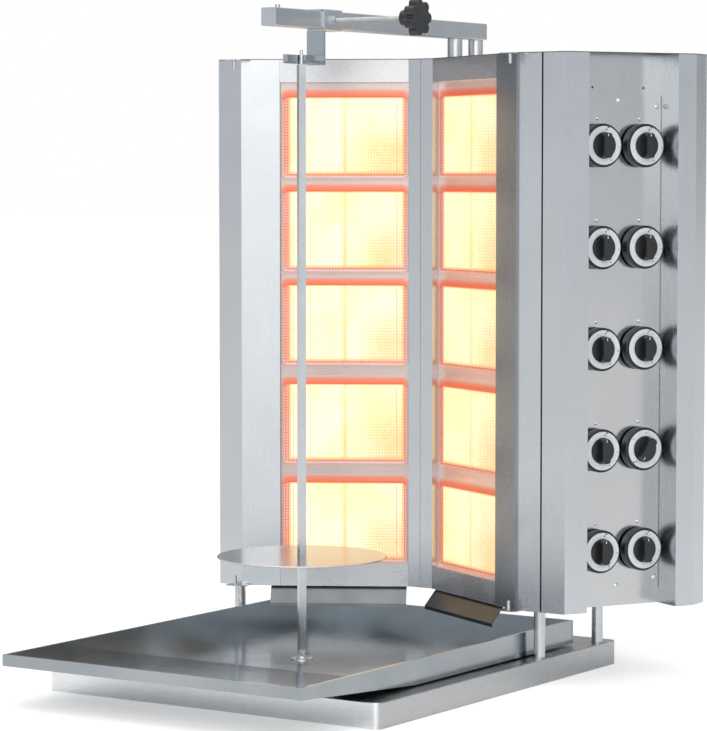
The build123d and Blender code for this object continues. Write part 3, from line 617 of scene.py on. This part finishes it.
# ------------------------------------------------------------------ knob dials
PANEL_X, KNOB_GAP, SKIRT = 328.5, 5.0, 17.0     # panel's face; behind a knob; a knob's skirt
CONTROL_OUT, COVER_SIDE, RECESS_LENGTH = 84.0, 44.0, 176.5
KNOB_PITCH, COLUMN_SHIFT = 84.5, 3.0
TURNED_KNOB, TURNED_ANGLE = ("rear", 4), 148    # the one knob that stands part of the way round
START = CONTROL_OUT * math.tan(math.radians(30)) + COVER_SIDE
MIDDLE = START + RECESS_LENGTH / 2 + COLUMN_SHIFT
COLUMNS = {"front": MIDDLE - KNOB_PITCH / 2, "rear": MIDDLE + KNOB_PITCH / 2}
KNOB_Z = [914.5 - 173.0 * row for row in range(5)]
DIAL_FACE, GRIP_TOP = 2.0, 15.5                 # above the skirt
INK_RISE, RIBS = 0.12, 60


def out_matrix(x, y, z):
    """Axes at a point of the control side: Z out of the panel, Y up."""
    out = Vector((COS, -SIN, 0))
    up = Vector((0, 0, 1))
    m = Matrix((up.cross(out), up, out)).transposed().to_4x4()
    m.translation = cabinet(x, y, z)
    return m


def ring_sector(r0, r1, a0, a1, low, high, steps=10):
    """A raised flat sector of a ring, in degrees counter-clockwise from up."""
    verts, faces = [], []
    for k in range(steps + 1):
        a = math.radians(90 + a0 + (a1 - a0) * k / steps)
        for r, h in ((r0, low), (r1, low), (r1, high), (r0, high)):
            verts.append(Vector((r * math.cos(a), r * math.sin(a), h)))
    for k in range(steps):
        for c in range(4):
            a, b = 4 * k + c, 4 * k + (c + 1) % 4
            faces.append((a, a + 4, b + 4, b))
    faces.append((0, 1, 2, 3))
    end = 4 * steps
    faces.append((end + 3, end + 2, end + 1, end))
    return verts, faces


def dress_knob(column, row, z):
    turn = math.radians(TURNED_ANGLE) if (column, row) == TURNED_KNOB else 0.0
    face = out_matrix(PANEL_X + KNOB_GAP + SKIRT, COLUMNS[column], z)
    m = face @ Matrix.Rotation(turn, 4, "Z")
    body = f"{column}_knob_{row}_body"
    # silvered dial ring with a softly rolled inner and outer edge
    dial = [(22.2, 0.2), (22.4, 1.75), (22.9, 2.0), (32.2, 2.0), (32.8, 1.8), (33.0, 1.2),
            (33.0, 0.2)]
    verts, faces = lathe(dial, 72, m)
    new_object(f"{column}_dial_{row}", verts, faces, dial_white, body)
    # four plain dashes: two near the top, one at the right and one near the foot
    dashes = ((26.2, 28.6, -11.5, -6.5), (30.4, 32.2, -18, -11), (28.6, 30.6, -97.5, -94.5),
              (27.4, 29.4, -154, -150))
    marks = [ring_sector(*place, DIAL_FACE - 0.1, DIAL_FACE + INK_RISE) for place in dashes]
    verts, faces = merge([([m @ (v * MM) for v in part], f) for part, f in marks])
    new_object(f"{column}_dial_marks_{row}", verts, faces, dial_ink, body)
    # fine grip ribs round the skirt
    ribs = []
    foot, crest, half, crest_half = 36.6, 37.0, 0.9, 0.9 * 0.45
    section = ((foot, half, -14.5), (crest, crest_half, -14.0), (crest, crest_half, -3.4),
               (foot, half, -2.6))
    sides = [(0, 1, 3, 2), (2, 3, 5, 4), (4, 5, 7, 6), (0, 2, 4, 6), (1, 7, 5, 3)]
    for k in range(RIBS):
        a = 2 * math.pi * k / RIBS
        c = Vector((math.cos(a), math.sin(a), 0))
        s = Vector((-math.sin(a), math.cos(a), 0))
        corner = []
        for r, w, h in section:
            corner += [c * r - s * w + Vector((0, 0, h)), c * r + s * w + Vector((0, 0, h))]
        ribs.append(([m @ (v * MM) for v in corner], sides))
    verts, faces = merge(ribs)
    rib = new_object(f"{column}_skirt_ribs_{row}", verts, faces, black_plastic, body)
    # short pointer mark on the top of the grip
    low, high = GRIP_TOP - 0.4, GRIP_TOP + INK_RISE
    outline = ((-0.8, 15.5), (0.8, 15.5), (0.8, 19.5), (-0.8, 19.5))
    verts = [m @ (Vector((x, y, h)) * MM) for h in (low, high) for x, y in outline]
    faces = [(4, 5, 6, 7), (0, 1, 5, 4), (1, 2, 6, 5), (2, 3, 7, 6), (3, 0, 4, 7), (3, 2, 1, 0)]
    new_object(f"{column}_pointer_{row}", verts, faces, dial_white, body)


for column in COLUMNS:
    for row, z in enumerate(KNOB_Z, start=1):
        dress_knob(column, row, z)

# ------------------------------------------------------------------ panel screws
PLATE_FOOT, PLATE_HEAD = 152.0, 1000.0
END_INSET, SIDE_INSET, CORNER_INSET = 8, 9, 18  # of the screws, from the plate's edges
SCREW_RADIUS, SCREW_HEIGHT, STUD_ABOVE = 4.5, 2.5, 46
STUD = [(0.01, 2.4), (1.4, 2.3), (2.4, 1.8), (3.0, 1.0), (3.0, 0.0)]


def cross_screw(m, radius, height, spin):
    """A domed head with a sunk cross, turned by spin."""
    verts, faces = [], []
    rings, segments = 9, 32
    cross_reach, cross_half, cross_depth = 0.62 * radius, 0.14 * radius, 0.45 * height
    for k in range(rings + 1):
        r = radius * k / rings
        for i in range(segments):
            a = 2 * math.pi * i / segments
            x, y = r * math.cos(a), r * math.sin(a)
            h = height * math.sqrt(max(0.0, 1 - (r / radius) ** 2 * 0.92))
            xr = x * math.cos(spin) + y * math.sin(spin)
            yr = y * math.cos(spin) - x * math.sin(spin)
            if r < cross_reach and (abs(xr) < cross_half or abs(yr) < cross_half):
                h -= cross_depth
            verts.append(m @ (Vector((x, y, h)) * MM))
    for i in range(segments):
        a = 2 * math.pi * i / segments
        verts.append(m @ (Vector((radius * math.cos(a), radius * math.sin(a), 0.0)) * MM))
    for k in range(rings + 1):
        for i in range(segments):
            j = (i + 1) % segments
            a, b = k * segments, (k + 1) * segments
            faces.append((a + i, b + i, b + j, a + j))
    return verts, faces


screws = []
places = [(MIDDLE, PLATE_FOOT + END_INSET), (MIDDLE, PLATE_HEAD - END_INSET)]
for y in (START + SIDE_INSET, START + RECESS_LENGTH - SIDE_INSET):
    places += [(y, PLATE_FOOT + CORNER_INSET), (y, PLATE_HEAD - CORNER_INSET)]
for k, (y, z) in enumerate(places):
    spin = 0.5 + 0.9 * k
    screws.append(cross_screw(out_matrix(PANEL_X, y, z), SCREW_RADIUS, SCREW_HEIGHT, spin))
for column in COLUMNS.values():
    for z in KNOB_Z:
        screws.append(lathe(STUD, 24, out_matrix(PANEL_X, column, z + STUD_ABOVE)))
verts, faces = merge(screws)
heads = new_object("panel_screw_heads", verts, faces, screw_steel, "frame")
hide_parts("panel_screws")

# ------------------------------------------------------------------ clamp screw's thread
low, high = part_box("clamp_screw")
axis_y, axis_z = (low.y + high.y) / 2, (low.z + high.z) / 2
verts, faces = [], []
PITCH, SEGMENTS, PER_TURN = 1.25, 20, 6
ROOT, THREAD_RISE, END_SHARE = 3.62, 0.32, 0.55     # the crest is lower at the two ends
length = (high.x - low.x) / MM
rings = int(length / PITCH * PER_TURN)
for k in range(rings + 1):
    x = length * k / rings
    for i in range(SEGMENTS):
        a = 2 * math.pi * i / SEGMENTS
        phase = (x / PITCH - i / SEGMENTS) % 1.0
        share = END_SHARE if k in (0, rings) else 1.0
        r = ROOT + THREAD_RISE * (1 - abs(2 * phase - 1)) * share
        verts.append(Vector((low.x + x * MM, axis_y + r * math.cos(a) * MM,
                             axis_z + r * math.sin(a) * MM)))
for k in range(rings):
    for i in range(SEGMENTS):
        j = (i + 1) % SEGMENTS
        a, b = k * SEGMENTS, (k + 1) * SEGMENTS
        faces.append((a + i, a + j, b + j, b + i))
faces.append(tuple(reversed(range(SEGMENTS))))
faces.append(tuple(range(rings * SEGMENTS, (rings + 1) * SEGMENTS)))
rod = new_object("clamp_screw_thread", verts, faces, thread_steel, "screw", 20.0)
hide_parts("clamp_screw")


# ------------------------------------------------------------------ welds
def weld_ring(centre, radius, bead, bumps, seed):
    """A fillet bead round a tube, lumpy like stacked weld pools, with four steps to each."""
    rng = random.Random(seed)
    verts, faces = [], []
    segments, around = bumps * 4, 8
    size = [bead * (0.85 + 0.3 * rng.random()) for _ in range(bumps)]
    for i in range(segments):
        a = 2 * math.pi * i / segments
        s = size[i // 4] * (0.86 + 0.14 * math.sin(2 * math.pi * (i % 4) / 4))
        for k in range(around):
            t = 2 * math.pi * k / around
            r = radius + s * math.cos(t)
            lift = s * 0.8 * math.sin(t)
            verts.append(centre + Vector((r * math.cos(a), r * math.sin(a), lift)) * MM)
    for i in range(segments):
        j = (i + 1) % segments
        for k in range(around):
            n = (k + 1) % around
            faces.append((i * around + k, j * around + k, j * around + n, i * around + n))
    return verts, faces


weld_steel = steel("weld_steel", (0.58, 0.57, 0.56), (0.36, 0.34, 0.33), 0.38, CAST, cloud=60.0)
welds = []
top_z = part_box("top_panel")[1].z
post_low, post_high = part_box("arm_posts")
post_r = (post_high.x - post_low.x) / 2 / MM
for k, y in enumerate((post_low.y + post_r * MM, post_high.y - post_r * MM)):
    welds.append(weld_ring(Vector((0, y, top_z)), post_r + 0.5, 1.6, 22, k))
leg_low, leg_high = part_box("leg_tubes")
LEG_R = 10.0
for k, x in enumerate((leg_low.x + LEG_R * MM, leg_high.x - LEG_R * MM)):
    for n, y in enumerate((leg_low.y + LEG_R * MM, leg_high.y - LEG_R * MM)):
        welds.append(weld_ring(Vector((x, y, leg_low.z)), LEG_R + 0.4, 1.3, 18, 10 + 2 * k + n))
verts, faces = merge(welds)
bead = new_object("weld_beads", verts, faces, weld_steel, "frame", 60.0)

# ------------------------------------------------------------------ camera
camera_data = bpy.data.cameras.new("camera")
camera_data.sensor_width = 36.0
camera_data.lens = 148.5
camera_data.clip_end = 60.0
camera = bpy.data.objects.new("camera", camera_data)
bpy.context.scene.collection.objects.link(camera)
camera.location = (2.8653, -4.2969, 0.8677)
azimuth, dip = math.radians(33.45), math.radians(3.65)
aim = Vector((-math.sin(azimuth) * math.cos(dip), math.cos(azimuth) * math.cos(dip),
              -math.sin(dip)))
camera.rotation_mode = "QUATERNION"
camera.rotation_quaternion = aim.to_track_quat("-Z", "Y")
bpy.context.scene.camera = camera

# ------------------------------------------------------------------ floor, studio and light
floor_mesh = bpy.data.meshes.new("studio_floor")
REACH = 60.0
corners = [(-REACH, -REACH, 0), (REACH, -REACH, 0), (REACH, REACH, 0), (-REACH, REACH, 0)]
floor_mesh.from_pydata(corners, [], [(0, 1, 2, 3)])
floor = bpy.data.objects.new("studio_floor", floor_mesh)
bpy.context.scene.collection.objects.link(floor)
pale, tree, bsdf = shader("pale_floor")
clouds = noise(tree, 1.5, 2.0)
tree.links.new(ramp(tree, clouds, [(0.3, (0.90, 0.90, 0.90)), (0.7, (0.93, 0.93, 0.93))]),
               bsdf.inputs["Base Color"])
bsdf.inputs["Roughness"].default_value = 0.8
bsdf.inputs["Specular IOR Level"].default_value = 0.1
bsdf.inputs["Emission Color"].default_value = (1.0, 1.0, 1.0, 1.0)
# the floor glows less to its reflections in the metal than where it is seen itself
seen = add(tree, "ShaderNodeLightPath")
tree.links.new(span(tree, seen.outputs["Is Camera Ray"], 0.08, 0.36, (0.0, 1.0)),
               bsdf.inputs["Emission Strength"])
floor_mesh.materials.append(pale)

# the studio: uneven walls that the metal reflects, and plain white where it is seen itself
world = bpy.data.worlds.new("studio")
bpy.context.scene.world = world
world.use_nodes = True
tree = world.node_tree
for node in list(tree.nodes):
    tree.nodes.remove(node)
where = add(tree, "ShaderNodeTexCoord")
parts = add(tree, "ShaderNodeSeparateXYZ")
tree.links.new(where.outputs["Generated"], parts.inputs[0])
angle = add(tree, "ShaderNodeMath", operation="ARCTAN2")
tree.links.new(parts.outputs["Y"], angle.inputs[0])
tree.links.new(parts.outputs["X"], angle.inputs[1])
around = span(tree, angle.outputs[0], 0.0, 1.0, (-math.pi, math.pi))
# once round from -X through -Y, +X and +Y; the bright stretch is on the camera's side
walls = ramp(tree, around, [
    (0.0, [0.14] * 3), (0.08, [0.34] * 3), (0.14, [0.66, 0.68, 0.72]), (0.23, [0.68, 0.71, 0.75]),
    (0.30, [1.88] * 3), (0.38, [1.96] * 3), (0.46, [0.68, 0.71, 0.76]),
    (0.54, [0.58, 0.61, 0.65]), (0.62, [0.40, 0.43, 0.46]), (0.70, [0.45] * 3),
    (0.78, [0.38] * 3), (0.90, [0.52] * 3), (1.0, [0.16] * 3)])
height = span(tree, parts.outputs["Z"], 0.0, 1.0, (0.25, 0.8))
sky = mix(tree, height, walls, (1.0, 1.0, 1.0))
studio = add(tree, "ShaderNodeBackground")
tree.links.new(sky, studio.inputs["Color"])
studio.inputs["Strength"].default_value = 0.95
blank = add(tree, "ShaderNodeBackground")
blank.inputs["Color"].default_value = (1.0, 1.0, 1.0, 1.0)
blank.inputs["Strength"].default_value = 1.0
ray = add(tree, "ShaderNodeLightPath")
both = add(tree, "ShaderNodeMixShader")
tree.links.new(ray.outputs["Is Camera Ray"], both.inputs[0])
tree.links.new(studio.outputs[0], both.inputs[1])
tree.links.new(blank.outputs[0], both.inputs[2])
output = add(tree, "ShaderNodeOutputWorld")
tree.links.new(both.outputs[0], output.inputs["Surface"])


def softbox(name, place, target, width, length, power):
    data = bpy.data.lights.new(name, "AREA")
    data.shape = "RECTANGLE"
    data.size, data.size_y, data.energy = width, length, power
    lamp = bpy.data.objects.new(name, data)
    bpy.context.scene.collection.objects.link(lamp)
    lamp.location = place
    lamp.rotation_mode = "QUATERNION"
    lamp.rotation_quaternion = (Vector(target) - Vector(place)).to_track_quat("-Z", "Y")


softbox("overhead", (0.2, -0.4, 3.4), (0, 0, 0.3), 2.6, 2.6, 18)
softbox("behind_camera", (2.6, -3.6, 2.4), (0, 0, 0.6), 1.8, 1.4, 9)

scene = bpy.context.scene
scene.view_settings.view_transform = "Standard"
scene.view_settings.look = "None"
